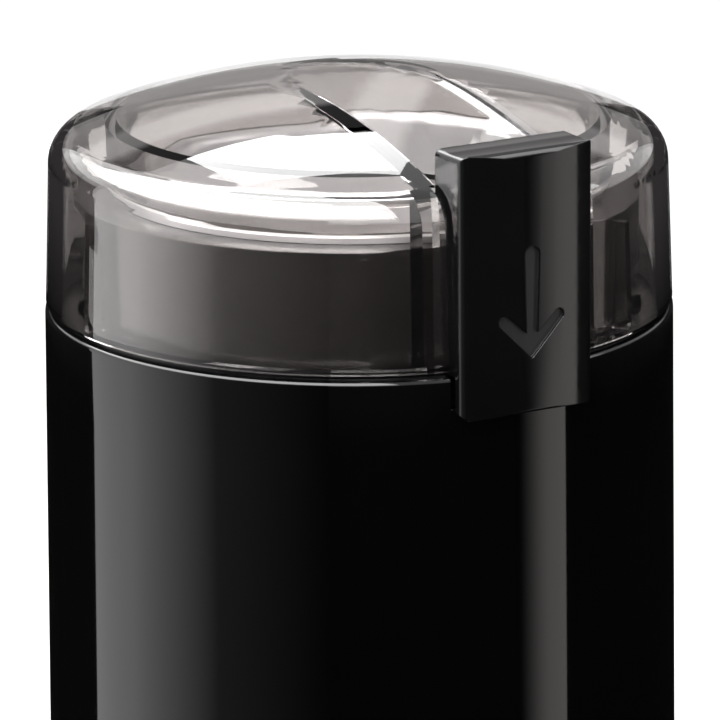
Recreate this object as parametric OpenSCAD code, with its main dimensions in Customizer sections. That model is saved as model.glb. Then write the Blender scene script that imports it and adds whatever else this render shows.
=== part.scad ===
// Electric spice grinder: round gloss housing, smoked domed lid, push button on a side pocket,
// steel bowl with a two-wing blade, and a vertical universal motor. Millimetres, +Z up.
// The origin is on the motor axis, in the plane that the rubber feet stand on.
// The button is on the -Y side.

/* [Housing] */
// Radius of the housing at its top edge
body_r = 44; // [43:0.5:48]
// Draft of the housing wall, which widens downward, in degrees
body_draft = 0.55; // [0.2:0.05:0.8]
// Housing wall
body_wall = 2.4; // [2:0.1:2.8]
// Thickness of the ledge that carries the lid
ledge_t = 3; // [2.5:0.1:3.5]
// Radius of the rounding at the foot of the housing
foot_round = 2; // [1:0.25:2.25]
// Depth of the shadow groove under the lid's rim
groove_drop = 0.7; // [0.4:0.1:1]

/* [Lid] */
// Step from the housing's edge in to the lid's rim
lid_inset = 0.1; // [0:0.05:0.4]
// Taper of the lid's wall, from its rim to the shoulder
lid_taper = 0.7; // [0.4:0.1:1]
// Lid wall
lid_wall = 2.2; // [1.8:0.1:2.4]
// Radius of the shoulder between wall and dome
shoulder_r = 5.3; // [4:0.1:6]
// Radius of the dome
dome_r = 115; // [100:1:130]
// Height of the dome's top above the seam
lid_h = 31.6; // [31:0.2:35]
// Clearance between the button and its pocket in the lid
pocket_gap = 0.45; // [0.3:0.05:0.6]
// Side draft of the pocket in degrees
pocket_draft = 0.5; // [0.2:0.1:1]
// Wall of the pocket inside the lid
pocket_wall = 2; // [1.4:0.1:2.2]
// Depth of the hollow that leads a finger over the dome to the button
finger_groove = 1.8; // [1:0.1:1.8]
// Thickness of the ring under the dome that closes the bowl
lid_ring_t = 1.6; // [1.2:0.1:1.8]
// Angle between the button and the nearest locating rib
rib_angle = 29; // [26:1:34]

/* [Button] */
// Width of the button
button_w = 20.6; // [18:0.2:22]
// How far the button stands out from the housing
button_stand = 2.2; // [1.8:0.1:3]
// How far the button's top lies below the dome's top
button_below = 1.6; // [0.5:0.1:4]
// How far the button's apron hangs below the seam
button_drop = 6.3; // [5.8:0.1:8]
// Travel of the button
button_travel = 4; // [3:0.25:4]
// Rounding of the button's edges
button_round = 1.5; // [0.8:0.1:1.8]
// Wall of the hollow button
button_wall = 2; // [1.4:0.1:2]
// Depth of the arrow in the button's front
arrow_depth = 0.5; // [0.3:0.05:0.7]
// Width of the pushrod
rod_w = 12; // [10:0.5:12]
// Thickness of the pushrod
rod_t = 2.3; // [1.8:0.1:2.6]

/* [Bowl and blade] */
// Depth of the bowl
bowl_depth = 51; // [46:0.5:56]
// Sheet thickness of the bowl
bowl_t = 0.8; // [0.6:0.1:1]
// Radius between the bowl's wall and its floor
bowl_corner = 8; // [5:0.5:9]
// Height of the collar above the seam
collar_h = 16; // [14:0.5:17]
// Thickness of the collar's skin
collar_skin = 1.8; // [1.4:0.1:2]
// Wall of the bowl carrier
carrier_wall = 1.4; // [1.2:0.1:1.6]
// Thickness of the carrier's floor
carrier_floor = 2.4; // [2:0.1:3]
// Clearance between the blade's tips and the bowl
tip_gap = 3.2; // [2:0.2:5]
// Thickness of the blade
blade_t = 1.6; // [1.2:0.1:2]
// Width of a blade wing at its root
blade_w = 10; // [8:0.5:11]
// Angle at which a wing slopes
blade_slope = 22; // [15:1:26]

/* [Motor] */
// Radius of the shaft
shaft_r = 3; // [2.5:0.1:3.3]
// Radial running gap of the shaft in its bearings
shaft_gap = 0.04; // [0.02:0.01:0.08]
// Radius of the armature
armature_r = 14; // [13:0.25:15]
// Clearance between the armature and the pole shoes
air_gap = 0.5; // [0.4:0.05:0.7]
// Height of the stator's stack of laminations
stack_h = 22; // [18:0.5:24]
// Length of the stator across the poles
stator_x = 59; // [56:0.5:62]
// Width of the stator
stator_y = 44; // [43:0.5:46]
// Width of the stator's yoke
yoke_w = 5.5; // [5:0.1:5.8]
// Radius of the commutator
commutator_r = 9; // [8.5:0.1:9.5]
// Height of the commutator
commutator_h = 11; // [10:0.5:12]
// Number of commutator bars
bar_count = 24; // [20:2:28]
// Number of armature slots
slot_count = 12; // [10:1:12]
// Radius of the fan
fan_r = 24; // [20:0.5:25]
// Number of fan blades
fan_blades = 9; // [7:1:11]
// Height of the rubber motor mounts
mount_h = 3; // [2.5:0.25:4]

/* [Base] */
// Height of the housing's edge above the table
foot_gap = 1.2; // [0.8:0.1:1.6]
// Thickness of the base cover
base_t = 2.4; // [2:0.1:3]
// Room between the base cover and the end of the shaft
floor_room = 14.1; // [13:0.1:24]
// Radius of a rubber foot
foot_r = 5; // [4:0.25:5.5]
// Distance of a foot's centre from the housing's outer radius
foot_inset = 13.5; // [13:0.5:16]
// Number of cooling slots in the base cover
vent_count = 16; // [12:2:18]
// Bore of the cord gland
gland_bore_r = 3.1; // [2.5:0.1:3.3]

/* [Hidden] */
$fn = 96;
eps = 0.01;

// ---- Radii, from the housing inward ----
lid_rim_r = body_r - lid_inset;
lid_top_r = lid_rim_r - lid_taper;
button_front_r = body_r + button_stand;
rod_gap = 1;
rod_play = 0.1;
rod_out = body_r - body_wall - rod_gap;
rod_in = rod_out - rod_t;
button_back = rod_in - rod_play;
cup_gap = 0.45;
bowl_gap = 0.9;
cup_out_r = button_back - pocket_gap - pocket_wall - cup_gap;
cup_in_r = cup_out_r - carrier_wall;
bowl_r = cup_in_r - bowl_gap - bowl_t;
collar_r = cup_out_r + 3.9;
collar_gap = 0.4;
ledge_hole_r = collar_r + collar_gap;
blade_half = bowl_r - tip_gap;

// ---- Planes, from the table upward ----
skirt = 0.6;
base_z = foot_gap + skirt;
base_top_z = base_z + base_t;
shaft_end_z = base_top_z + floor_room;
shaft_stub = 9;
lower_plate_z = shaft_end_z + shaft_stub;
plate_gap = 6.5;
commutator_z = lower_plate_z + plate_gap;
brush_z = commutator_z + 0.45 * commutator_h;
end_turn_h = 6;
core_over = 1;
core_under_z = commutator_z + commutator_h + 0.5 + end_turn_h;
core_h = stack_h + 2 * core_over;
stack_under_z = core_under_z + core_over;
stack_top_z = stack_under_z + stack_h;
fan_h = 4;
fan_gap = 2.5;
fan_z = stack_top_z + core_over + end_turn_h + 0.5;
bracket_under_z = fan_z + fan_h + fan_gap;
bracket_t = 3;
bracket_top_z = bracket_under_z + bracket_t;
boss_h = 6;
carrier_under_z = bracket_top_z + mount_h + boss_h;
carrier_top_z = carrier_under_z + carrier_floor;
bowl_floor_z = carrier_top_z + bowl_t;
rim_z = bowl_floor_z + bowl_depth;
seam_z = rim_z - collar_h;
ledge_under_z = seam_z - ledge_t;
button_top = lid_h - button_below;

function outer_r(z) = body_r + (seam_z - z) * tan(body_draft);
function inner_r(z) = outer_r(z) - body_wall;
function arc(c, r, a0, a1, n) =
    [for (i = [0:n]) c + r * [cos(a0 + (a1 - a0) * i / n), sin(a0 + (a1 - a0) * i / n)]];

module revolve(points) { rotate_extrude($fn = 128) polygon(points); }
module tube(r_out, r_in, h) {
    difference() {
        cylinder(r = r_out, h = h);
        translate([0, 0, -1]) cylinder(r = r_in, h = h + 2);
    }
}
module around(count, start = 0) {
    for (i = [0:count - 1]) rotate([0, 0, start + i * 360 / count]) children();
}
// Copies at the given angles on a ring, at height z
module on_ring(angles, ring, z) {
    for (a = angles) rotate([0, 0, a]) translate([ring, 0, z]) children();
}
// A block given by its low and high corners
module box(lo, hi) { translate(lo) cube(hi - lo); }
// A helical spring of round wire, with flat-lying end turns
module spring(coil_r, wire_r, length, turns, steps = 14, sides = 6) {
    dead = 1;
    count = turns * steps;
    pitch_at = function(i) let (t = i / steps)
        t < dead ? t * 2 * wire_r * 1.05
        : t > turns - dead ? length - 2 * wire_r - (turns - t) * 2 * wire_r * 1.05
        : let (k = (t - dead) / (turns - 2 * dead), low = 2 * wire_r * 1.05)
          low + k * (length - 2 * wire_r - 2 * low);
    points = [for (i = [0:count]) for (j = [0:sides - 1])
        let (a = 360 * i / steps, b = 360 * j / sides, r = coil_r + wire_r * cos(b))
        [r * cos(a), r * sin(a), wire_r + pitch_at(i) + wire_r * sin(b)]];
    walls = [for (i = [0:count - 1]) for (j = [0:sides - 1])
        let (k = (j + 1) % sides, p = i * sides, q = p + sides)
        each [[p + j, q + j, q + k], [p + j, q + k, p + k]]];
    start_cap = [for (j = [1:sides - 2]) [0, j, j + 1]];
    end_cap = [for (j = [1:sides - 2]) [count * sides, count * sides + j + 1, count * sides + j]];
    polyhedron(points = points, faces = concat(walls, start_cap, end_cap), convexity = 10);
}
// Pan-head screw that points up, with its head below z = 0
module screw(shank_r, length, head_r, head_h) {
    difference() {
        union() {
            cylinder(r = shank_r, h = length, $fn = 32);
            translate([0, 0, -head_h]) cylinder(r1 = head_r * 0.8, r2 = head_r, h = head_h, $fn = 32);
        }
        for (a = [0, 90]) rotate([0, 0, a]) translate([-head_r * 0.55, -0.35, -head_h - 1])
            cube([head_r * 1.1, 0.7, 1 + head_h * 0.55]);
    }
}

// ---- Housing ----
carrier_boss_r = 2.9;
carrier_screw_ring = cup_out_r + carrier_boss_r + 0.7;
carrier_screw_r = 1.4;
carrier_boss_h = 7;
carrier_boss_z = ledge_under_z - carrier_boss_h;
carrier_screw_angles = [90, 210, 330];
ear_t = 2.4;
tap_gap = 0.05;
base_boss_r = 3.4;
base_boss_h = 14;
base_head_r = 2.8;
base_sink = 1.2;
base_screw_ring = body_r - body_wall - base_boss_r - 0.6;
rim_out = base_screw_ring - base_boss_r - 0.5;
rim_in = rim_out - 1.5;
base_screw_r = 1.5;
base_screw_angles = [30, 120, 210, 300];
foot_ring = body_r - foot_inset;
foot_angles = [75, 165, 255, 345];
foot_plug_r = 1.6;
foot_sink = 1;
gland_z = base_top_z + 9.8;
gland_r = gland_bore_r + 1.7;
vent_in = 10;
vent_out = 20;
vent_w = 2;
button_slot_w = button_w + 0.7;
button_slot_z = seam_z - button_travel - 1;

module housing_shell() {
    foot_z = foot_gap;
    foot_out = outer_r(foot_z);
    edge_z = seam_z - groove_drop;
    edge_round = 0.7;
    revolve(concat(
        [[foot_out - body_wall, foot_z]],
        arc([foot_out - foot_round, foot_z + foot_round], foot_round, -90, 0, 8),
        arc([outer_r(edge_z) - edge_round, edge_z - edge_round], edge_round, 0, 90, 6),
        [[lid_rim_r - 1.2, edge_z], [lid_rim_r - 1.2, seam_z], [ledge_hole_r, seam_z],
         [ledge_hole_r, ledge_under_z], [inner_r(ledge_under_z), ledge_under_z]]));
}

module housing() color([0.03, 0.03, 0.035]) {
    difference() {
        union() {
            housing_shell();
            // Bosses under the ledge for the screws of the bowl carrier
            on_ring(carrier_screw_angles, carrier_screw_ring, carrier_boss_z)
                cylinder(r = carrier_boss_r, h = carrier_boss_h);
            // Columns for the base screws, tied to the wall by a web
            on_ring(base_screw_angles, base_screw_ring, base_top_z) {
                cylinder(r = base_boss_r, h = base_boss_h);
                translate([0, -1, 0]) cube([inner_r(base_top_z) - base_screw_ring + 1, 2, base_boss_h + 4]);
            }
        }
        on_ring(carrier_screw_angles, carrier_screw_ring, carrier_boss_z - 1)
            cylinder(r = carrier_screw_r + tap_gap, h = carrier_boss_h - 0.5);
        on_ring(base_screw_angles, base_screw_ring, base_top_z - 1)
            cylinder(r = base_screw_r + tap_gap, h = base_boss_h - 2);
        // Slot that the button drops into
        box([-button_slot_w / 2, -body_r - 6, button_slot_z], [button_slot_w / 2, 5 - cup_out_r, seam_z + 1]);
        // Hole of the cord gland
        translate([0, inner_r(gland_z) - 3, gland_z]) rotate([-90, 0, 0]) cylinder(r = gland_r, h = 10);
    }
}

// ---- Base ----
module base_cover() color([0.05, 0.05, 0.055]) {
    edge_r = inner_r(base_z) - 0.25;
    cradle_y = capacitor_size.y / 2 + 0.9;
    difference() {
        union() {
            translate([0, 0, base_z]) cylinder(r = edge_r, h = base_t);
            // Upstanding rim that stiffens the cover, inside the ring of screw columns
            translate([0, 0, base_z]) tube(rim_out, rim_in, base_t + 2.5);
            // Pillars that the feet plug into from below
            on_ring(foot_angles, foot_ring, base_z) cylinder(r = foot_plug_r * 2, h = base_t + 3);
            // Cradle walls of the capacitor
            for (s = [-1, 1]) translate([capacitor_at.x, capacitor_at.y + s * cradle_y, 0])
                box([-capacitor_size.x / 3, -0.7, base_z],
                    [capacitor_size.x / 3, 0.7, base_top_z + capacitor_size.z - 2]);
            // Feet of the terminal block
            for (s = [-1, 1]) translate([terminal_at.x + s * 7, terminal_at.y, base_z])
                cylinder(r = 2.6, h = terminal_z - base_z);
        }
        on_ring(base_screw_angles, base_screw_ring, base_z - 1) {
            cylinder(r = base_screw_r + 0.3, h = base_t + 2);
            cylinder(r = base_head_r + 0.3, h = 1 + base_sink);
        }
        on_ring(foot_angles, foot_ring, base_z - 1) {
            cylinder(r = foot_r + 0.1, h = 1 + foot_sink);
            cylinder(r = foot_plug_r + 0.1, h = base_t + 5);
        }
        // Radial cooling slots under the motor
        around(vent_count) translate([0, 0, base_z - 1]) {
            for (r = [vent_in, vent_out]) translate([r, 0, 0]) cylinder(r = vent_w / 2, h = base_t + 2);
            translate([vent_in, -vent_w / 2, 0]) cube([vent_out - vent_in, vent_w, base_t + 2]);
        }
    }
}

module base_screws() color([0.6, 0.6, 0.62]) {
    on_ring(base_screw_angles, base_screw_ring, base_z + base_sink)
        screw(base_screw_r, 11, base_head_r, base_sink - 0.1);
}

module rubber_feet() color([0.08, 0.08, 0.08]) {
    foot_top_z = base_z + foot_sink;
    chamfer = 0.6;
    on_ring(foot_angles, foot_ring, 0) {
        rotate_extrude() polygon([
            [0, 0], [foot_r - chamfer, 0], [foot_r, chamfer], [foot_r, foot_top_z], [0, foot_top_z]]);
        translate([0, 0, foot_top_z - 0.5]) cylinder(r = foot_plug_r, h = base_t + 2);
    }
}

module cord_gland() color([0.06, 0.06, 0.06]) {
    wall_in = inner_r(gland_z);
    translate([0, wall_in, gland_z]) rotate([-90, 0, 0]) difference() {
        rotate_extrude() polygon([
            [0, -6], [gland_r - 0.1, -6], [gland_r - 0.1, body_wall + 0.15],
            [gland_r + 1.2, body_wall + 0.15], [gland_r + 0.9, body_wall + 1.2],
            [gland_bore_r + 0.8, body_wall + 2.3], [0, body_wall + 2.3]]);
        translate([0, 0, -7]) cylinder(r = gland_bore_r, h = 20);
    }
}

// ---- Bowl carrier: the cup under the bowl, the collar in the lid and the pushrod's guide ----
rod_foot_t = 2.5;
rod_foot_top_z = carrier_under_z - 1;
rod_foot_under_z = rod_foot_top_z - rod_foot_t;
rod_foot_in = rod_out - 7.6;
rod_foot_w = 18;
guide_top_z = seam_z - button_travel - 2;
plunger_at = [5, 5.1 - rod_out];
plunger_r = 2;
plunger_in = 2.4;
switch_lo = [-1.5, 2.1 - rod_out];
switch_hi = [13.5, 9.6 - rod_out];
switch_top_z = rod_foot_under_z - 0.1 - button_travel - 0.9;
switch_h = 15;
switch_under_z = switch_top_z - switch_h;
spring_at = [-6, 4.6 - rod_out];
spring_seat_z = switch_under_z + 3.5;
spring_coil_r = 2.2;
spring_wire_r = 0.35;
arm_plate_y = switch_hi[1] + 0.2;
arm_plate_t = 1.2;

// A circle with a flat on the button's side
module carrier_plan(r, flat) {
    intersection() {
        circle(r);
        translate([-r, -flat]) square([2 * r, flat + r]);
    }
}

module carrier_collar() {
    translate([0, 0, ledge_under_z + 0.2]) linear_extrude(rim_z - ledge_under_z - 0.2) difference() {
        carrier_plan(collar_r, cup_out_r);
        carrier_plan(collar_r - collar_skin, cup_out_r - carrier_wall);
    }
    translate([0, 0, rim_z - collar_skin]) linear_extrude(collar_skin) carrier_plan(collar_r, cup_out_r);
}

module switch_arm() {
    // Plate behind the switch, shelf below it and the post under the return spring
    box([-10, arm_plate_y, switch_under_z - 2.4], [14.5, arm_plate_y + arm_plate_t, carrier_under_z + 1]);
    box([-10, switch_lo[1] - 0.1, switch_under_z - 2.4], [14.5, arm_plate_y + 0.5, switch_under_z]);
    translate([spring_at[0], spring_at[1], switch_under_z - 1]) {
        cylinder(r = spring_coil_r + 2 * spring_wire_r, h = spring_seat_z - switch_under_z + 1);
        cylinder(r = spring_coil_r - 2 * spring_wire_r, h = spring_seat_z - switch_under_z + 4);
    }
}

module bowl_carrier() color([0.06, 0.06, 0.065]) {
    difference() {
        union() {
            carrier_collar();
            translate([0, 0, carrier_under_z]) cylinder(r = cup_out_r, h = rim_z - carrier_under_z - 0.5);
            // Ears that are screwed to the housing's bosses
            on_ring(carrier_screw_angles, 0, carrier_boss_z - ear_t) {
                translate([carrier_screw_ring - 0.2, 0, 0]) cylinder(r = carrier_boss_r - 0.2, h = ear_t);
                box([cup_out_r - 1, -2.4, 0], [carrier_screw_ring, 2.4, ear_t]);
            }
            // Bosses of the motor mounts
            on_ring(mount_angles, mount_ring, bracket_top_z + mount_h) cylinder(r = mount_r, h = boss_h + 1);
            // Ribs that guide the pushrod, on its back and at its sides
            for (s = [-1, 1]) {
                back_rib_x = s * rod_w / 4;
                side_rib_x = s * (rod_w / 2 + 1.3);
                box([back_rib_x - 0.8, -rod_in + 0.3, carrier_under_z],
                    [back_rib_x + 0.8, -cup_in_r - 0.5, guide_top_z]);
                box([side_rib_x - 1, -rod_out + 0.2, carrier_under_z],
                    [side_rib_x + 1, -cup_in_r + 0.2, guide_top_z]);
            }
            switch_arm();
        }
        // Inside of the cup
        translate([0, 0, carrier_top_z]) cylinder(r = cup_in_r, h = bowl_depth + 10);
        translate([0, 0, carrier_under_z - 1]) cylinder(r = seal_r + bowl_t + 0.4, h = 10);
        on_ring(carrier_screw_angles, carrier_screw_ring, carrier_boss_z - ear_t - 1)
            cylinder(r = carrier_screw_r + 0.2, h = ear_t + 2);
        on_ring(mount_angles, mount_ring, bracket_top_z + mount_h - 1)
            cylinder(r = mount_screw_r + tap_gap, h = boss_h + 1);
        for (x = switch_screw_x) translate([x, arm_plate_y - 1, switch_screw_z]) rotate([-90, 0, 0])
            cylinder(r = switch_screw_r + tap_gap, h = 3);
        // Slots in the shelf for the tags of the switch
        for (x = tag_x) box([x - tag_w / 2 - 0.4, tag_y - 0.4, switch_under_z - 3],
                            [x + tag_w / 2 + 0.4, tag_y + tag_t + 0.4, switch_under_z + 0.5]);
    }
}

module carrier_screws() color([0.6, 0.6, 0.62]) {
    on_ring(carrier_screw_angles, carrier_screw_ring, carrier_boss_z - ear_t)
        screw(carrier_screw_r, carrier_boss_h, 2.3, 1.4);
}

// ---- Bowl ----
seal_r = 7.5;
hub_h = 6;
module grinding_bowl() color([0.75, 0.75, 0.77]) {
    hub_r = seal_r + bowl_t;
    hub_round = 3;
    floor_z = bowl_floor_z;
    // Inside line from the hub over the floor and up the wall, then back along the outside
    inside = concat(
        [[seal_r, floor_z + hub_h], [hub_r, floor_z + hub_h]],
        arc([hub_r + hub_round, floor_z + hub_round], hub_round, 180, 270, 6),
        arc([bowl_r - bowl_corner, floor_z + bowl_corner], bowl_corner, -90, 0, 10),
        arc([bowl_r + 1.2, rim_z + 0.1 - 0.4], 1.2, 180, 90, 5));
    outside = concat(
        [[bowl_r + bowl_t + 1.6, rim_z + 0.9], [bowl_r + bowl_t + 1.6, rim_z + 0.05],
         [bowl_r + bowl_t + 0.4, rim_z + 0.05], [bowl_r + bowl_t, rim_z - 0.6]],
        arc([bowl_r - bowl_corner, floor_z + bowl_corner], bowl_corner + bowl_t, 0, -90, 10),
        arc([hub_r + hub_round, floor_z + hub_round], hub_round + bowl_t, 270, 180, 6),
        [[seal_r, floor_z + hub_h - 0.9]]);
    revolve(concat(inside, outside));
}

module shaft_seal() color([0.1, 0.1, 0.1]) {
    // Rubber lip seal, pressed into the hub from above, with a flange over the hub's edge
    lip = shaft_r + 0.06;
    hub_top_z = bowl_floor_z + hub_h;
    revolve([
        [lip, hub_top_z + 1.2], [shaft_r + 1, hub_top_z + 1.2],
        [seal_r + 0.6, hub_top_z + 0.2], [seal_r + 0.6, hub_top_z + 0.05],
        [seal_r - 0.05, hub_top_z + 0.05], [seal_r - 0.05, bowl_floor_z + 1],
        [shaft_r + 2, bowl_floor_z + 1], [shaft_r + 1.2, bowl_floor_z + 3], [lip, bowl_floor_z + 3.5]]);
}

// ---- Lid ----
dome_z = lid_h - dome_r;
shoulder_x = lid_top_r - shoulder_r;
shoulder_at = [shoulder_x, dome_z + sqrt(pow(dome_r - shoulder_r, 2) - pow(shoulder_x, 2))];
shoulder_end = atan2(shoulder_at[1] - dome_z, shoulder_at[0]);
pocket_back = button_back - pocket_gap;
pocket_half = button_w / 2 + pocket_gap;

// Half cross-section of the lid, moved in by t from its outside: wall, round shoulder and dome
module lid_profile(t) {
    c = shoulder_at;
    reach = 4 * shoulder_r;
    ray = c + reach * [cos(shoulder_end), sin(shoulder_end)];
    polygon([[0, 0], [lid_rim_r - t, 0], c + [shoulder_r - t, 0], c]);
    intersection() {
        translate(c) circle(shoulder_r - t);
        polygon([c, c + [reach, 0], c + [reach, reach], ray]);
    }
    intersection() {
        translate([0, dome_z]) circle(dome_r - t, $fn = 360);
        polygon([[0, 0], c, ray, [0, lid_h + reach]]);
    }
}

module lid_solid(t) { translate([0, 0, seam_z]) rotate_extrude($fn = 128) lid_profile(t); }

// A wedge-sided block round the pocket, grown by g
module pocket_block(g) {
    spread = 40 * tan(pocket_draft);
    rotate([90, 0, 0]) translate([0, 0, pocket_back - g]) linear_extrude(20)
        polygon([[-pocket_half - g, seam_z - 1], [pocket_half + g, seam_z - 1],
                 [pocket_half + g + spread, seam_z + 39], [-pocket_half - g - spread, seam_z + 39]]);
}

// Finger hollow that runs over the dome along -Y, just narrower than the pocket; g grows it into the lid
module finger_trough(g) {
    side_step = 0.6;
    half = pocket_half - side_step;
    // Where the hollow is deepest, as a lean from the top of the dome towards the button
    lean = 12.5;
    // The floor is flatter than the dome along its length and a shallow arc across it
    arch_r = 1.37 * dome_r;
    floor_r = 0.65 * dome_r;
    drop = arch_r - dome_r + finger_groove;
    // Ring section: from under the floor to well above the dome
    below = arch_r - g - 1;
    high = g + 1 + 6 * finger_groove;
    translate([0, 0, seam_z + dome_z]) rotate([lean, 0, 0]) translate([0, 0, -drop]) rotate([0, 90, 0])
        rotate_extrude($fn = 360) intersection() {
            translate([arch_r + floor_r, 0]) circle(floor_r + g, $fn = 360);
            translate([below, -half - g]) square([high, 2 * (half + g)]);
        }
}

module lid() color([0.35, 0.33, 0.32, 0.45]) {
    ring_out = cup_out_r - 0.6;
    ring_under = rim_z + bowl_t + 0.1 + 0.4;
    difference() {
        union() {
            difference() {
                lid_solid(0);
                translate([0, 0, -eps]) difference() {
                    lid_solid(lid_wall);
                    finger_trough(lid_wall);
                }
            }
            intersection() {
                lid_solid(lid_wall / 2);
                union() {
                    pocket_block(pocket_wall);
                    // Ring under the dome that closes the bowl
                    translate([0, 0, ring_under]) tube(ring_out, ring_out - lid_ring_t, 30);
                    // Locating ribs beside the collar
                    for (a = [rib_angle, 90, 150, 210, 270, 360 - rib_angle]) rotate([0, 0, a - 90])
                        box([collar_r + collar_gap, -0.6, seam_z + 0.5], [body_r, 0.6, rim_z - 0.5]);
                }
            }
        }
        pocket_block(0);
        finger_trough(0);
        // Chamfer under the rim
        translate([0, 0, seam_z - eps]) difference() {
            cylinder(r = lid_rim_r + 1, h = 0.4);
            translate([0, 0, -eps]) cylinder(r1 = lid_rim_r - 0.35, r2 = lid_rim_r + 0.02, h = 0.42);
        }
    }
}

// ---- Button ----
apron_gap = 0.4;

// Seen from above: flat back and sides, a front that follows the housing, and rounded corners
module button_plan() {
    half = button_w / 2;
    // Centre of the rounding at the left front corner, and the ray from the axis through it
    c = [half - button_round, -sqrt(pow(button_front_r - button_round, 2) - pow(half - button_round, 2))];
    reach = 5;
    ray = c * (1 + reach / button_front_r);
    polygon([[-half, -button_back], [half, -button_back], [half, c.y], c, [-c.x, c.y], [-half, c.y]]);
    intersection() {
        circle(button_front_r, $fn = 360);
        polygon([c, [-c.x, c.y], [-ray.x, ray.y], ray]);
    }
    for (s = [0, 1]) mirror([s, 0]) intersection() {
        translate(c) circle(button_round);
        polygon([c, ray, c + [reach, -reach], c + [reach, 0]]);
    }
}

// Seen from the side: a slightly dished top, rounded over at the front, and an apron outside the housing
module button_side() {
    top = seam_z + button_top;
    under = seam_z - button_drop;
    front = -button_front_r;
    back = -button_back;
    lip_r = 1;
    dish_r = 22;
    rotate([90, 0, 90]) translate([0, 0, -button_w]) linear_extrude(2 * button_w) difference() {
        union() {
            polygon([[back, seam_z - 40], [back, top - 0.6], [back - 0.6, top], [front + button_round, top],
                     [front + button_round, top - button_round], [front, top - button_round],
                     [front, under + lip_r], [front + lip_r, under + lip_r], [front + lip_r, under],
                     [-body_r - apron_gap, under], [-body_r - apron_gap, seam_z - 40]]);
            translate([front + button_round, top - button_round]) circle(button_round);
            translate([front + lip_r, under + lip_r]) circle(lip_r);
        }
        translate([(front + back) / 2 + 0.3, top + dish_r - 0.35]) circle(dish_r, $fn = 360);
    }
}

// Seen from the front: a tall face with four rounded corners
module button_front() {
    corner = 1.3;
    half = button_w / 2;
    high = button_top + button_drop;
    translate([0, -button_back + 5, seam_z - button_drop]) rotate([90, 0, 0]) linear_extrude(20) {
        translate([-half, corner]) square([button_w, high - 2 * corner]);
        translate([corner - half, 0]) square([button_w - 2 * corner, high]);
        for (x = [corner - half, half - corner]) for (y = [corner, high - corner])
            translate([x, y]) circle(corner);
    }
}

module arrow() {
    // Down arrow in the front view: a tapering shaft with a round top and a two-armed head
    shaft_top = 16.8;
    shaft_half = 1.15;
    tip = 1.4;
    head_half = 4.7;
    head_top = 7.1;
    arm_w = 2.4;
    shoulder = shaft_top - shaft_half;
    outer = [head_half, head_top - arm_w * 0.4];
    inner = [head_half - 0.9, head_top + 0.5];
    translate([0, shoulder]) circle(r = shaft_half, $fn = 32);
    polygon([[-shaft_half, shoulder], [shaft_half, shoulder], [0.8, tip + 2], [-0.8, tip + 2]]);
    polygon([[0, tip], outer, inner, [0, tip + arm_w * shaft_half],
             [-inner.x, inner.y], [-outer.x, outer.y]]);
    for (side = [-1, 1]) translate([side * (outer.x + inner.x) / 2, (outer.y + inner.y) / 2])
        circle(d = norm(outer - inner), $fn = 32);
}

module push_button() color([0.04, 0.04, 0.045]) {
    block_under = seam_z - 0.5;
    below = seam_z - 20;
    union() {
        difference() {
            intersection() {
                translate([0, 0, below]) linear_extrude(3 * button_w) button_plan();
                button_side();
                button_front();
            }
            // The apron hangs outside the housing wall
            translate([0, 0, below]) cylinder(r = body_r + apron_gap, h = block_under - below);
            // Hollow from below
            box([-button_w / 2 + button_wall, -body_r + apron_gap, below],
                [button_w / 2 - button_wall, -button_back - button_wall, seam_z + button_top - 3]);
            // Arrow sunk in the front
            difference() {
                translate([0, -button_back, seam_z]) rotate([90, 0, 0]) linear_extrude(20) arrow();
                translate([0, 0, below]) cylinder(r = button_front_r - arrow_depth, h = 3 * button_w);
            }
        }
        // Pushrod and its foot over the switch
        box([-rod_w / 2, -rod_out, rod_foot_under_z], [rod_w / 2, -rod_in, block_under + 3]);
        box([-rod_foot_w / 2, -rod_out, rod_foot_under_z], [rod_foot_w / 2, -rod_foot_in, rod_foot_top_z]);
    }
}

module button_spring() color([0.7, 0.7, 0.72]) {
    end_gap = 0.02;
    translate([spring_at[0], spring_at[1], spring_seat_z + end_gap])
        spring(spring_coil_r, spring_wire_r, rod_foot_under_z - spring_seat_z - 2 * end_gap, 9);
}

// ---- Switch ----
switch_screw_x = [1, 11];
switch_screw_z = switch_under_z + 2.6;
switch_screw_r = 1;
tag_x = [1, 6, 11];
tag_y = switch_lo[1] + 1.3;
tag_w = 1.8;
tag_t = 0.6;
module switch_body() color([0.12, 0.12, 0.13]) {
    difference() {
        union() {
            box([switch_lo[0], switch_lo[1], switch_under_z], [switch_hi[0], switch_hi[1], switch_top_z]);
            // Solder tags
            for (x = tag_x) box([x - tag_w / 2, tag_y, switch_under_z - 5.5],
                                [x + tag_w / 2, tag_y + tag_t, switch_under_z + 1]);
        }
        translate([plunger_at[0], plunger_at[1], switch_top_z - plunger_in - button_travel - 0.6])
            cylinder(r = plunger_r + 0.08, h = 8);
        for (x = switch_screw_x) translate([x, switch_lo[1] - 1, switch_screw_z]) rotate([-90, 0, 0])
            cylinder(r = switch_screw_r + 0.1, h = 12);
    }
}

module switch_plunger() color([0.75, 0.15, 0.1]) {
    translate([plunger_at[0], plunger_at[1], switch_top_z - plunger_in])
        cylinder(r = plunger_r, h = rod_foot_under_z - 0.1 - switch_top_z + plunger_in);
}

module switch_screws() color([0.6, 0.6, 0.62]) {
    for (x = switch_screw_x) translate([x, switch_lo[1], switch_screw_z]) rotate([-90, 0, 0])
        screw(switch_screw_r, switch_hi[1] - switch_lo[1] + 1.4, 1.9, 1.2);
}

// ---- Blade ----
blade_z = bowl_floor_z + hub_h + 1.6;
blade_hub_r = 8.4;
nut_r = 6.6;

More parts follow.
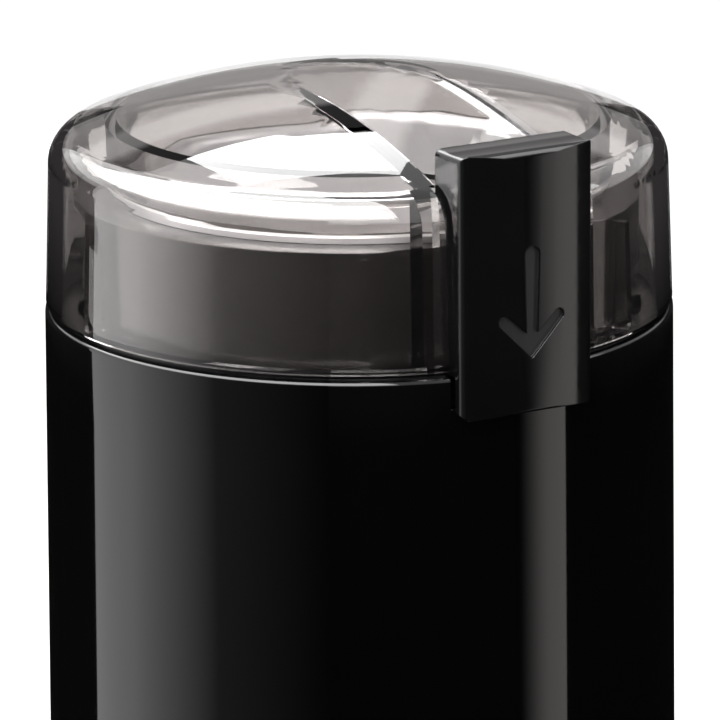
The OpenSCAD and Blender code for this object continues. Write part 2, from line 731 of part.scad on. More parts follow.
module wing() {
    // One wing: a flat root, a sloping middle and a bevelled cutting edge along its leading side
    reach = blade_half - 8;
    half = blade_w / 2;
    outline = [[0, -half], [reach * 0.55, -half + 0.6], [reach, -half + 3.4],
               [reach + 0.6, 0.2], [reach * 0.9, half - 2], [reach * 0.4, half], [0, half]];
    difference() {
        linear_extrude(blade_t) polygon(outline);
        // Ground edge
        translate([reach * 0.1, -half - 0.4, blade_t * 0.35]) rotate([0, 0, 5.5]) rotate([38, 0, 0])
            translate([0, -6, 0]) cube([reach, 6.4, 3]);
    }
}

module blade() color([0.72, 0.72, 0.74]) {
    difference() {
        union() {
            translate([0, 0, blade_z]) cylinder(r = blade_hub_r, h = blade_t);
            for (s = [0, 1]) rotate([0, 0, 180 * s]) translate([7, 0, blade_z])
                rotate([s == 0 ? 8 : -8, s == 0 ? -blade_slope * 0.5 : blade_slope * 0.2, 0]) wing();
        }
        translate([0, 0, blade_z - 5]) cylinder(r = shaft_r - 0.5, h = 20);
    }
}

module blade_nut() color([0.08, 0.08, 0.08]) {
    nut_z = blade_z + blade_t;
    difference() {
        translate([0, 0, nut_z]) rotate_extrude() polygon(concat(
            [[0, 0], [nut_r, 0], [nut_r, 2.4]], arc([nut_r - 2.6, 3.2], 2.6, -18, 90, 6), [[0, 5.8]]));
        translate([0, 0, nut_z - 1]) cylinder(r = shaft_r - 0.45, h = 5.2);
        translate([-nut_r - 0.4, -0.8, nut_z + 4.2]) cube([2 * nut_r + 0.8, 1.6, 4]);
    }
}

// ---- Rotor ----
shaft_top_z = blade_z + blade_t + 4;
module drive_shaft() color([0.65, 0.65, 0.67]) {
    // The blade sits on a step under the thinner threaded end
    thread_r = shaft_r - 0.52;
    revolve([
        [0, shaft_end_z], [shaft_r - 0.4, shaft_end_z], [shaft_r, shaft_end_z + 0.4], [shaft_r, blade_z],
        [thread_r, blade_z], [thread_r, shaft_top_z - 0.5], [shaft_r - 1, shaft_top_z], [0, shaft_top_z]]);
}

slot_pitch_r = armature_r - 4;
slot_r = 2.1;
module armature_core() color([0.45, 0.45, 0.47]) {
    translate([0, 0, core_under_z]) linear_extrude(core_h) difference() {
        circle(armature_r);
        circle(shaft_r + 0.02);
        around(slot_count) {
            translate([slot_pitch_r, 0]) circle(slot_r, $fn = 32);
            translate([slot_pitch_r, -0.8]) square([8, 1.6]);
        }
    }
}

module armature_winding() color([0.72, 0.35, 0.15]) {
    inner = shaft_r + 1.6;
    outer = armature_r - 1.2;
    core_top = core_under_z + core_h;
    // Half section of the end turns above the core
    crown = [[inner, 0.1], [outer, 0.1], [outer - 0.4, 3], [outer - 2.5, end_turn_h - 0.6],
             [outer - 5, end_turn_h], [inner, end_turn_h - 1]];
    difference() {
        union() {
            // End turns above and below the core, with a bundle in each slot
            translate([0, 0, core_top]) revolve(crown);
            translate([0, 0, core_under_z]) mirror([0, 0, 1]) revolve(crown);
            around(slot_count) translate([slot_pitch_r, 0, core_under_z - 1])
                cylinder(r = slot_r - 0.15, h = core_h + 2, $fn = 24);
        }
        // Creases between the coils of the end turns
        for (z = [core_under_z - end_turn_h - 2, core_top + 1.2]) around(slot_count, 180 / slot_count)
            translate([outer - 1.3, -0.35, z]) cube([3, 0.7, end_turn_h + 0.8]);
    }
}

module commutator() color([0.75, 0.45, 0.2]) {
    difference() {
        union() {
            translate([0, 0, commutator_z]) cylinder(r = commutator_r, h = commutator_h);
            translate([0, 0, commutator_z + commutator_h - 1.8]) cylinder(r = commutator_r + 1.3, h = 1.8);
        }
        translate([0, 0, commutator_z - 1]) cylinder(r = shaft_r + 0.02, h = commutator_h + 2);
        around(bar_count) translate([commutator_r - 0.9, -0.2, commutator_z - 1])
            cube([4, 0.4, commutator_h + 2]);
    }
}

module cooling_fan() color([0.85, 0.85, 0.82]) {
    difference() {
        union() {
            translate([0, 0, fan_z]) cylinder(r = fan_r, h = 1);
            translate([0, 0, fan_z]) cylinder(r = shaft_r + 2.4, h = fan_h);
            // Backward-curved blades
            around(fan_blades) intersection() {
                translate([fan_r * 0.42, fan_r * 0.5, fan_z]) tube(fan_r * 0.62, fan_r * 0.62 - 1, fan_h);
                translate([fan_r * 0.3, -fan_r * 0.3, fan_z]) cube([fan_r * 0.64, fan_r * 0.3, fan_h]);
            }
        }
        translate([0, 0, fan_z - 1]) cylinder(r = shaft_r + 0.02, h = fan_h + 2);
    }
}

module thrust_washers() color([0.85, 0.8, 0.6]) {
    for (z = [bearing_lo_z + bearing_h + 0.15, bearing_hi_z - 1.15])
        translate([0, 0, z]) tube(shaft_r + 2.2, shaft_r + 0.02, 1);
}

// ---- Stator ----
pole_r = armature_r + air_gap;
shoe_t = 3;
neck_half = 7;
shoe_half_angle = 50;
window_x = stator_x / 2 - yoke_w;
window_y = stator_y / 2 - yoke_w;
bolt_at = [stator_x / 2 - yoke_w + 1.8, stator_y / 2 - yoke_w + 1.8];
bolt_r = 1.6;
bolt_boss_r = 3;

// Copies at the four corners where the motor's bolts can pass
module at_bolts(z) {
    for (x = [-1, 1]) for (y = [-1, 1]) translate([x * bolt_at.x, y * bolt_at.y, z]) children();
}

// A rectangle with the corners cut round
module stator_plan() {
    intersection() {
        square([stator_x, stator_y], center = true);
        circle(stator_x / 2 + 4);
    }
}

module stator_core() color([0.5, 0.5, 0.52]) {
    translate([0, 0, stack_under_z]) linear_extrude(stack_h) difference() {
        stator_plan();
        difference() {
            square([2 * window_x, 2 * window_y], center = true);
            square([stator_x, 2 * neck_half], center = true);
            for (s = [0, 180]) rotate([0, 0, s]) intersection() {
                circle(pole_r + shoe_t);
                polygon([[0, 0], [30, -30 * tan(shoe_half_angle)], [30, 30 * tan(shoe_half_angle)]]);
            }
        }
        circle(pole_r);
        at_bolts(0) circle(bolt_r + 0.15, $fn = 32);
    }
}

bobbin_x0 = pole_r + shoe_t + 0.25;
bobbin_x1 = window_x - 0.2;
bobbin_t = 0.7;
coil_out = 4.6;
// A rounded rectangular frame that stands round a pole neck
module neck_frame(x0, x1, grow, width) {
    for (s = [0, 180]) rotate([0, 0, s]) translate([x0, 0, (stack_under_z + stack_top_z) / 2])
        rotate([90, 0, 90]) linear_extrude(x1 - x0) difference() {
            square([2 * (neck_half + grow + width), stack_h + 2 * (grow + width)], center = true);
            square([2 * (neck_half + grow), stack_h + 2 * grow], center = true);
        }
}

module coil_bobbins() color([0.85, 0.82, 0.7]) {
    neck_frame(bobbin_x0, bobbin_x1, 0.15, bobbin_t);
    neck_frame(bobbin_x0, bobbin_x0 + bobbin_t, 0.15, bobbin_t + 2.6);
    neck_frame(bobbin_x1 - bobbin_t, bobbin_x1, 0.15, bobbin_t + 2.6);
}

module field_coils() color([0.75, 0.38, 0.16]) {
    grow = 0.15 + bobbin_t + 0.1;
    difference() {
        neck_frame(bobbin_x0 + bobbin_t + 0.1, bobbin_x1 - bobbin_t - 0.1, grow, coil_out - 1);
        cylinder(r = pole_r + shoe_t + 0.2, h = 200);
    }
}

// ---- Motor brackets ----
mount_r = 4;
mount_ring = stator_x / 2 - mount_r - 0.5;
mount_angles = [0, 90, 180];
mount_screw_r = 1.5;
bearing_r = 6.5;
bearing_h = 7;
bearing_hi_z = bracket_top_z - 2.5;
bearing_lo_z = lower_plate_z - 5.5;
seat_r = bearing_r + 0.06;
seat_wall = 2.5;
seat_half = 2.5;

// Barrel-shaped sintered bush
module bush(z) {
    half = bearing_h / 2;
    bulge = asin(half / bearing_r);
    profile = concat([[0, -half]], arc([0, 0], bearing_r, -bulge, bulge, 8), [[0, half]]);
    difference() {
        translate([0, 0, z + half]) revolve(profile);
        translate([0, 0, z - 1]) cylinder(r = shaft_r + shaft_gap, h = bearing_h + 2);
    }
}
module bush_seat(z) {
    translate([0, 0, z + bearing_h / 2]) sphere(r = seat_r);
}

module upper_bearing() color([0.7, 0.55, 0.3]) bush(bearing_hi_z);
module lower_bearing() color([0.7, 0.55, 0.3]) bush(bearing_lo_z);

// Air windows between the bearing's seat and the edge of the plate
module air_windows() {
    spoke = 16 / 40;
    around(4, 45) intersection() {
        difference() {
            circle(20);
            circle(bearing_r + 4.5);
        }
        polygon([[0, 0], [stator_y, -stator_y * spoke], [stator_y, stator_y * spoke]]);
    }
}

module upper_bracket() color([0.68, 0.68, 0.7]) {
    seat_mid = bearing_hi_z + bearing_h / 2;
    tab_r = mount_r + 1;
    difference() {
        union() {
            translate([0, 0, bracket_under_z]) linear_extrude(bracket_t) {
                stator_plan();
                // Tab of the third mount
                translate([0, mount_ring]) circle(tab_r);
                translate([-tab_r, 0]) square([2 * tab_r, mount_ring]);
            }
            translate([0, 0, bracket_under_z])
                cylinder(r = bearing_r + seat_wall, h = seat_mid + seat_half - bracket_under_z);
            at_bolts(stack_top_z) cylinder(r = bolt_boss_r, h = bracket_under_z - stack_top_z + 1);
        }
        bush_seat(bearing_hi_z);
        translate([0, 0, seat_mid]) cylinder(r = seat_r, h = 10);
        translate([0, 0, bracket_under_z - 1]) cylinder(r = shaft_r + 2.6, h = 20);
        at_bolts(stack_top_z - 1) cylinder(r = bolt_r + 0.1, h = 30);
        on_ring(mount_angles, mount_ring, bracket_under_z - 1) cylinder(r = mount_screw_r + 0.3, h = 6);
        translate([0, 0, bracket_under_z - 1]) linear_extrude(bracket_t + 2) air_windows();
    }
}

module lower_bracket() color([0.12, 0.12, 0.13]) {
    seat_mid = bearing_lo_z + bearing_h / 2;
    seat_under = seat_mid - seat_half;
    pillar_h = stack_under_z - lower_plate_z;
    difference() {
        union() {
            translate([0, 0, lower_plate_z]) linear_extrude(bracket_t) stator_plan();
            translate([0, 0, seat_under])
                cylinder(r = bearing_r + seat_wall, h = lower_plate_z + bracket_t - seat_under);
            at_bolts(lower_plate_z) cylinder(r = bolt_boss_r, h = pillar_h);
            // Cradles of the brush holders
            each_brush() translate([0, holder_y0 + holder_len / 2, 0])
                box([-holder_w / 2 - 1.5, -5, lower_plate_z - brush_z], [holder_w / 2 + 1.5, 5, 1]);
        }
        bush_seat(bearing_lo_z);
        translate([0, 0, seat_mid - 10]) cylinder(r = seat_r, h = 10);
        translate([0, 0, lower_plate_z - 1]) cylinder(r = shaft_r + 2.6, h = 20);
        at_bolts(lower_plate_z - 1) cylinder(r = bolt_r + 0.1, h = pillar_h + 3);
        each_brush() translate([0, holder_y0 + holder_len / 2, 0])
            box([-holder_w / 2 - 0.05, -12, -holder_h / 2 - 0.02], [holder_w / 2 + 0.05, 12, holder_h]);
        // Air holes
        for (x = [-1, 1]) translate([x * 17, 0, lower_plate_z - 1]) cylinder(r = 5, h = bracket_t + 3);
    }
}

module motor_bolts() color([0.6, 0.6, 0.62]) {
    for (s = [-1, 1]) translate([s * bolt_at.x, s * bolt_at.y, lower_plate_z])
        screw(bolt_r, bracket_top_z - lower_plate_z + 2, 2.9, 1.8);
}

module bearing_clips() color([0.7, 0.7, 0.72]) {
    // Star washers that hold the bushes in their seats, bored to the bush where they rest
    clip_bore_r = sqrt(pow(bearing_r, 2) - pow(seat_half, 2)) + 0.05;
    clip_t = 0.5;
    hi = bearing_hi_z + bearing_h / 2 + seat_half;
    lo = bearing_lo_z + bearing_h / 2 - seat_half - clip_t;
    for (z = [hi, lo]) translate([0, 0, z]) difference() {
        cylinder(r = bearing_r + 2.2, h = clip_t);
        translate([0, 0, -1]) cylinder(r = clip_bore_r, h = 3);
        around(6) translate([clip_bore_r - 1, -0.6, -1]) cube([2, 1.2, 3]);
    }
}

module motor_mounts() color([0.1, 0.1, 0.1]) {
    waist = mount_r - 0.5;
    on_ring(mount_angles, mount_ring, bracket_top_z) difference() {
        rotate_extrude()
            polygon([[0, 0], [mount_r, 0], [waist, mount_h / 2], [mount_r, mount_h], [0, mount_h]]);
        translate([0, 0, -1]) cylinder(r = mount_screw_r + 0.1, h = mount_h + 2);
    }
}

module mount_screws() color([0.6, 0.6, 0.62]) {
    on_ring(mount_angles, mount_ring, bracket_under_z)
        screw(mount_screw_r, bracket_t + mount_h + boss_h - 0.6, 2.6, 1.6);
}

// ---- Brushes ----
brush_w = 5;
brush_h = 7;
brush_play = 0.1;
holder_w = brush_w + 1.4;
holder_h = brush_h + 1.4;
holder_y0 = commutator_r + 1.2;
holder_len = 17;
brush_len = 9;
brush_end = commutator_r + brush_len;
holder_end = holder_y0 + holder_len;
plug_in = 1.5;

module each_brush() {
    for (s = [0, 180]) rotate([0, 0, s]) translate([0, 0, brush_z]) children();
}

module brush_holders() color([0.8, 0.65, 0.3]) {
    each_brush() difference() {
        box([-holder_w / 2, holder_y0, -holder_h / 2], [holder_w / 2, holder_end, holder_h / 2]);
        box([-brush_w / 2 - brush_play, holder_y0 - 1, -brush_h / 2 - brush_play],
            [brush_w / 2 + brush_play, holder_end + 1, brush_h / 2 + brush_play]);
    }
}

module carbon_brushes() color([0.15, 0.15, 0.15]) {
    each_brush() difference() {
        box([-brush_w / 2, 0, -brush_h / 2], [brush_w / 2, brush_end, brush_h / 2]);
        translate([0, 0, -10]) cylinder(r = commutator_r + brush_play, h = 20);
    }
}

module brush_springs() color([0.7, 0.7, 0.72]) {
    each_brush() translate([0, brush_end + 0.02, 0]) rotate([-90, 0, 0])
        spring(1.7, 0.3, holder_end - plug_in - 0.1 - brush_end, 6, 12);
}

module brush_caps() color([0.1, 0.1, 0.1]) {
    each_brush() {
        box([-brush_w / 2, holder_end - plug_in, -brush_h / 2], [brush_w / 2, holder_end + 0.2, brush_h / 2]);
        box([-holder_w / 2 - 0.4, holder_end + 0.05, -holder_h / 2 + 0.3],
            [holder_w / 2 + 0.4, holder_end + 1.6, holder_h / 2 - 0.3]);
    }
}

// ---- Electrical parts in the base ----
rim_gap = 0.7;
capacitor_size = [18, 9, 9];
capacitor_x = 13.5;
capacitor_at = [-capacitor_x, capacitor_size.y / 2
    - sqrt(pow(rim_in - rim_gap, 2) - pow(capacitor_x + capacitor_size.x / 2, 2))];
terminal_half = [11, 4.5];
terminal_x = [-5, 5];
terminal_at = [0, sqrt(pow(rim_in - rim_gap, 2) - pow(terminal_half.x, 2)) - terminal_half.y];
terminal_z = base_top_z + 3;

module capacitor() color([0.85, 0.7, 0.15]) {
    translate([capacitor_at.x - capacitor_size.x / 2, capacitor_at.y - capacitor_size.y / 2, base_top_z])
        cube(capacitor_size);
}

module terminal_block() color([0.85, 0.85, 0.8]) {
    translate([terminal_at.x, terminal_at.y, terminal_z]) difference() {
        union() {
            box([-terminal_half.x, -terminal_half.y, 0], [terminal_half.x, terminal_half.y, 4]);
            for (x = terminal_x) box([x - 3.6, -terminal_half.y, 0], [x + 3.6, terminal_half.y, 9]);
        }
        // Wire bore and screw hole of each pole
        for (x = terminal_x) translate([x, 0, 0]) {
            translate([0, terminal_half.y + 1.5, 4.5]) rotate([90, 0, 0]) cylinder(r = 1.6, h = 12);
            translate([0, 0, 5]) cylinder(r = 1.8, h = 6);
        }
    }
}

housing();
base_cover();
base_screws();
rubber_feet();
cord_gland();
bowl_carrier();
carrier_screws();
grinding_bowl();
shaft_seal();
lid();
push_button();
button_spring();
switch_body();
switch_plunger();
switch_screws();
blade();
blade_nut();
drive_shaft();
armature_core();
armature_winding();
commutator();
cooling_fan();
thrust_washers();
stator_core();
coil_bobbins();
field_coils();
upper_bracket();
lower_bracket();
motor_bolts();
upper_bearing();
lower_bearing();
bearing_clips();
motor_mounts();
mount_screws();
brush_holders();
carbon_brushes();
brush_springs();
brush_caps();
capacitor();
terminal_block();
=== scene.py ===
import bpy
import math
from mathutils import Matrix, Vector


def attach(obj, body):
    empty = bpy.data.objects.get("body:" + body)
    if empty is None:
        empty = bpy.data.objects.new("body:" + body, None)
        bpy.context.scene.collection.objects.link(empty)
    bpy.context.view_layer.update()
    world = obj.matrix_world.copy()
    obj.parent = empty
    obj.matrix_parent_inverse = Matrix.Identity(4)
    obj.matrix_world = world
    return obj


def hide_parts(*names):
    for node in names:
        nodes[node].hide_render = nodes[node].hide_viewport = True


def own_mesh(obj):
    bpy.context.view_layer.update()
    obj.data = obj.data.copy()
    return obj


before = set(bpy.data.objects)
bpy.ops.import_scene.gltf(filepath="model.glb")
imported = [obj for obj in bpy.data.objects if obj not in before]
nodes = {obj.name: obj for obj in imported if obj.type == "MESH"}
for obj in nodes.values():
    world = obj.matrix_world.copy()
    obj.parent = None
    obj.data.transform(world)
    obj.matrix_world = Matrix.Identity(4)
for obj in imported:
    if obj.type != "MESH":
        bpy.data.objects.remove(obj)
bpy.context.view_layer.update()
scene = bpy.context.scene
scene.view_settings.view_transform = "Standard"

MM = 0.001

# The camera: azimuth, pitch and roll of the photograph, its distance and the point it looks at
AZIMUTH = math.radians(-30)
PITCH = math.radians(15.41)
ROLL = math.radians(-0.46)
DISTANCE = 0.8
LOOK_Z = 128.82 * MM
LOOK_RIGHT = 0.05 * MM
LENS = 284.3
SENSOR = 36

# The sunk arrow of the button: its floor lies within this radius, behind the button's face
ARROW_FLOOR_R = 45.95 * MM
ARROW_BACK_Y = -44.6 * MM
ARROW_LOW_Z = 139.0 * MM
ARROW_HIGH_Z = 156.5 * MM
ARROW_HALF_W = 5.4 * MM

# Fine structure of the metal pieces. Lines are per metre, and a gap is a share of a lamination
TURNED_LINES = 5200
DRAWN_LINES = 4000
DRAWN_BREAKS = 120
WIRE_PITCH = 0.5 * MM
LAMINATION = 0.5 * MM
LAMINATION_GAP = 0.22

# Smooth shading: corners closer than the first are joined, and edges sharper than the second stay
MERGE = 0.001 * MM
SHARP_EDGE = math.radians(28)

# Stage, in metres. Turns are in degrees round the object from the camera, positive to the picture's right
SKY_CENTRE_Z = 154.5 * MM
SKY_R = 0.45
GLINT_R = 0.44
UPRIGHT_R = 0.22
UPRIGHT_TOP = 0.235
LEFT_TURNS = (-103.6, -10)
RIGHT_TURNS = (52, 72.3)
GROOVE_TURNS = (-172, -204)
CARD_R = 0.25
CARD_FOOT = 0.5 * MM
CARD_TOP = 0.20
CARD_BACK_TOP = 0.075
CARD_OPENING = 16
CARD_FADE = (0.075, 0.10)
SHEET_FOOT = 0.165
SHEET_TOP = 0.370
SHEET_HALF_TURN = 35
RING_OUTER = CARD_R * 1.1
RING_INNER = 0.05
FLOOR_HALF = 6.0


# ---------- Node helpers ----------
class Graph:
    """A node tree, by default a new material's, with short calls for the nodes that repeat."""

    def __init__(self, name, home="materials", output="ShaderNodeOutputMaterial"):
        self.owner = getattr(bpy.data, home).new(name)
        self.owner.use_nodes = True
        self.tree = self.owner.node_tree
        self.tree.nodes.clear()
        self.out = self.add(output)
        self.place = None

    def add(self, kind, **settings):
        node = self.tree.nodes.new(kind)
        for key, value in settings.items():
            setattr(node, key, value)
        return node

    def feed(self, socket, value):
        """Link a socket, set a value or leave the default."""
        if isinstance(value, bpy.types.NodeSocket):
            self.tree.links.new(value, socket)
        elif value is not None:
            socket.default_value = value

    def coords(self):
        """The place on the object in metres."""
        if self.place is None:
            self.place = self.add("ShaderNodeTexCoord").outputs["Object"]
        return self.place

    def split(self):
        node = self.add("ShaderNodeSeparateXYZ")
        self.feed(node.inputs[0], self.coords())
        return node.outputs

    def vector(self, x, y, z):
        node = self.add("ShaderNodeCombineXYZ")
        for socket, value in zip(node.inputs, (x, y, z)):
            self.feed(socket, value)
        return node.outputs[0]

    def math(self, operation, a, b=None, clamp=False):
        node = self.add("ShaderNodeMath", operation=operation, use_clamp=clamp)
        self.feed(node.inputs[0], a)
        self.feed(node.inputs[1], b)
        return node.outputs[0]

    def times(self, a, b):
        return self.math("MULTIPLY", a, b)

    def radius(self):
        """Distance from the motor's axis."""
        x, y, _ = self.split()
        return self.math("SQRT", self.math("ADD", self.times(x, x), self.times(y, y)))

    def noise(self, scale, detail=3.0, vector=None):
        node = self.add("ShaderNodeTexNoise")
        self.feed(node.inputs["Vector"], self.coords() if vector is None else vector)
        node.inputs["Scale"].default_value = scale
        node.inputs["Detail"].default_value = detail
        return node.outputs["Fac"]

    def spread(self, value, low, high, from_low=0.3, from_high=0.7):
        """Map a value, by default a noise's middle range, onto low to high."""
        node = self.add("ShaderNodeMapRange")
        self.feed(node.inputs["Value"], value)
        limits = {"From Min": from_low, "From Max": from_high, "To Min": low, "To Max": high}
        for key, number in limits.items():
            node.inputs[key].default_value = number
        return node.outputs["Result"]

    def mix(self, factor, a, b):
        node = self.add("ShaderNodeMix", data_type="RGBA")
        self.feed(node.inputs["Factor"], factor)
        for key, value in (("A", a), ("B", b)):
            socket = [s for s in node.inputs if s.name == key and s.type == "RGBA"][0]
            self.feed(socket, value)
        return [s for s in node.outputs if s.type == "RGBA"][0]

    def cloud(self, scale, detail, dark, light):
        """A colour that wanders softly between two."""
        return self.mix(self.spread(self.noise(scale, detail), 0, 1), dark, light)

    def bump(self, height, distance, strength=1.0, normal=None):
        node = self.add("ShaderNodeBump")
        node.inputs["Strength"].default_value = strength
        node.inputs["Distance"].default_value = distance
        self.feed(node.inputs["Height"], height)
        self.feed(node.inputs["Normal"], normal)
        return node.outputs["Normal"]

    def rounded(self, radius):
        """Edges that catch the light as if rounded."""
        node = self.add("ShaderNodeBevel", samples=4)
        node.inputs["Radius"].default_value = radius
        return node.outputs["Normal"]

    def shader(self, kind, **inputs):
        """A shader node. An input's name is written with _ for each space."""
        node = self.add(kind)
        for key, value in inputs.items():
            self.feed(node.inputs[key.replace("_", " ")], value)
        return node.outputs[0]

    def principled(self, **inputs):
        return self.shader("ShaderNodeBsdfPrincipled", **inputs)

    def background_rays(self):
        """1 for the rays that show the background: camera, glossy and transmission rays."""
        path = self.add("ShaderNodeLightPath").outputs
        seen = self.math("ADD", path["Is Camera Ray"], path["Is Glossy Ray"])
        return self.math("ADD", seen, path["Is Transmission Ray"], clamp=True)

    def finish(self, shader):
        self.feed(self.out.inputs["Surface"], shader)
        return self.owner


def grey(level):
    return (level, level, level, 1)


def shade(colour, factor):
    return tuple(min(1.0, c * factor) for c in colour) + (1.0,)


# ---------- Materials. Grain, wave and edge sizes are in mm ----------
def plastic(name, colour, rough=(0.3, 0.4), grain=0.0, wave=0.0, edge=0.15, ior=1.5):
    """Moulded plastic: slight colour and gloss variation, a fine grain or a gloss moulding's soft waves."""
    g = Graph(name)
    normal = g.rounded(edge * MM)
    if grain:
        normal = g.bump(g.noise(2500, 2), grain * MM, 0.6, normal)
    if wave:
        normal = g.bump(g.noise(70, 1), wave * MM, 0.5, normal)
    base = g.cloud(45, 2, shade(colour, 0.88), shade(colour, 1.12))
    return g.finish(g.principled(Base_Color=base, Roughness=g.spread(g.noise(900), *rough), IOR=ior,
                                 Normal=normal))


def metal(name, colour, rough=(0.25, 0.4), grain="plain", edge=0.1, strength=0.02, stretch=0.4):
    """Bare metal: turned or brushed round the axis, drawn along Z, stacked in laminations, or plain."""
    g = Graph(name)
    x, y, z = g.split()
    if grain == "turned":
        lines = g.noise(1, 3, g.vector(g.times(g.radius(), TURNED_LINES), g.times(z, TURNED_LINES), 0.0))
    elif grain == "laminated":
        lines = g.math("GREATER_THAN", g.math("FRACT", g.times(z, 1 / LAMINATION)), LAMINATION_GAP)
    elif grain == "drawn":
        lines = g.noise(1, 3, g.vector(g.times(x, DRAWN_LINES), g.times(y, DRAWN_LINES),
                                       g.times(z, DRAWN_BREAKS)))
    else:
        lines = g.noise(2200)
    base = g.cloud(60, 3, shade(colour, 0.9), shade(colour, 1.06))
    if grain == "laminated":
        base = g.mix(lines, shade(colour, 0.35), base)
    inputs = {"Base_Color": base, "Roughness": g.spread(g.noise(400), *rough), "Metallic": 1.0,
              "Normal": g.bump(lines, strength * MM, 0.5, g.rounded(edge * MM))}
    if grain == "turned":
        tangent = g.add("ShaderNodeTangent", direction_type="RADIAL", axis="Z")
        inputs.update(Tangent=tangent.outputs[0], Anisotropic=stretch, Anisotropic_Rotation=0.25)
    return g.finish(g.principled(**inputs))


def wire(name, colour, around):
    """Enamelled winding wire, laid side by side away from the axis or along X, with painted shade in the
    grooves between turns.
    """
    g = Graph(name)
    across = g.radius() if around else g.split()[0]
    ridge = g.math("ABSOLUTE", g.math("SINE", g.times(across, 2 * math.pi / WIRE_PITCH)))
    enamel = g.cloud(300, 2, shade(colour, 0.9), shade(colour, 1.1))
    # Painted shade: the colour darkens to 0.45 of the copper in the grooves between the turns
    return g.finish(g.principled(Base_Color=g.mix(ridge, shade(colour, 0.45), enamel),
                                 Roughness=g.spread(g.noise(300, 2), 0.28, 0.4), Metallic=0.85,
                                 Normal=g.bump(ridge, 0.12 * MM, 0.8), Coat_Weight=0.3))


def rubber(name, colour):
    """Matt grey-black rubber with a fine grain."""
    g = Graph(name)
    base = g.cloud(120, 3, shade(colour, 0.8), shade(colour, 1.25))
    normal = g.bump(g.noise(1800, 4), 0.05 * MM, 0.5, g.rounded(0.2 * MM))
    return g.finish(g.principled(Base_Color=base, Roughness=g.spread(g.noise(700, 2), 0.62, 0.8),
                                 Normal=normal))


def smoked_clear(name):
    """Polished smoke-tinted clear plastic. The lamps shine through it, so what it covers is lit."""
    g = Graph(name)
    tint = g.cloud(35, 2, (0.80, 0.772, 0.762, 1), (0.84, 0.812, 0.802, 1))
    clear = g.principled(Base_Color=tint, Roughness=g.spread(g.noise(500, 2), 0.006, 0.02), IOR=1.62,
                         Normal=g.bump(g.noise(38, 1), 0.10 * MM, 0.25), Transmission_Weight=1.0)
    through = g.shader("ShaderNodeBsdfTransparent", Color=(0.93, 0.92, 0.915, 1))
    blend = g.add("ShaderNodeMixShader")
    shadow_ray = g.add("ShaderNodeLightPath").outputs["Is Shadow Ray"]
    for socket, value in zip(blend.inputs, (shadow_ray, clear, through)):
        g.feed(socket, value)
    return g.finish(blend.outputs[0])


def gloss_button(name):
    """Gloss black moulding whose sunk arrow is satin."""
    g = Graph(name)
    x, y, z = g.split()
    arrow = g.math("LESS_THAN", g.radius(), ARROW_FLOOR_R)
    for test, value, limit in (("LESS_THAN", y, ARROW_BACK_Y), ("GREATER_THAN", z, ARROW_LOW_Z),
                               ("LESS_THAN", z, ARROW_HIGH_Z),
                               ("LESS_THAN", g.math("ABSOLUTE", x), ARROW_HALF_W)):
        arrow = g.times(arrow, g.math(test, value, limit))
    black = g.cloud(60, 2, (0.0035, 0.0035, 0.0038, 1), (0.0055, 0.0055, 0.006, 1))
    base = g.mix(arrow, black, (0.016, 0.016, 0.0165, 1))
    rough = g.math("ADD", g.spread(g.noise(800), 0.06, 0.1), g.times(arrow, 0.38))
    grain = g.bump(g.times(g.noise(3500, 2), arrow), 0.05 * MM, 0.5, g.rounded(0.22 * MM))
    normal = g.bump(g.noise(70, 1), 0.02 * MM, 0.4, grain)
    return g.finish(g.principled(Base_Color=base, Roughness=rough, IOR=1.5, Normal=normal))


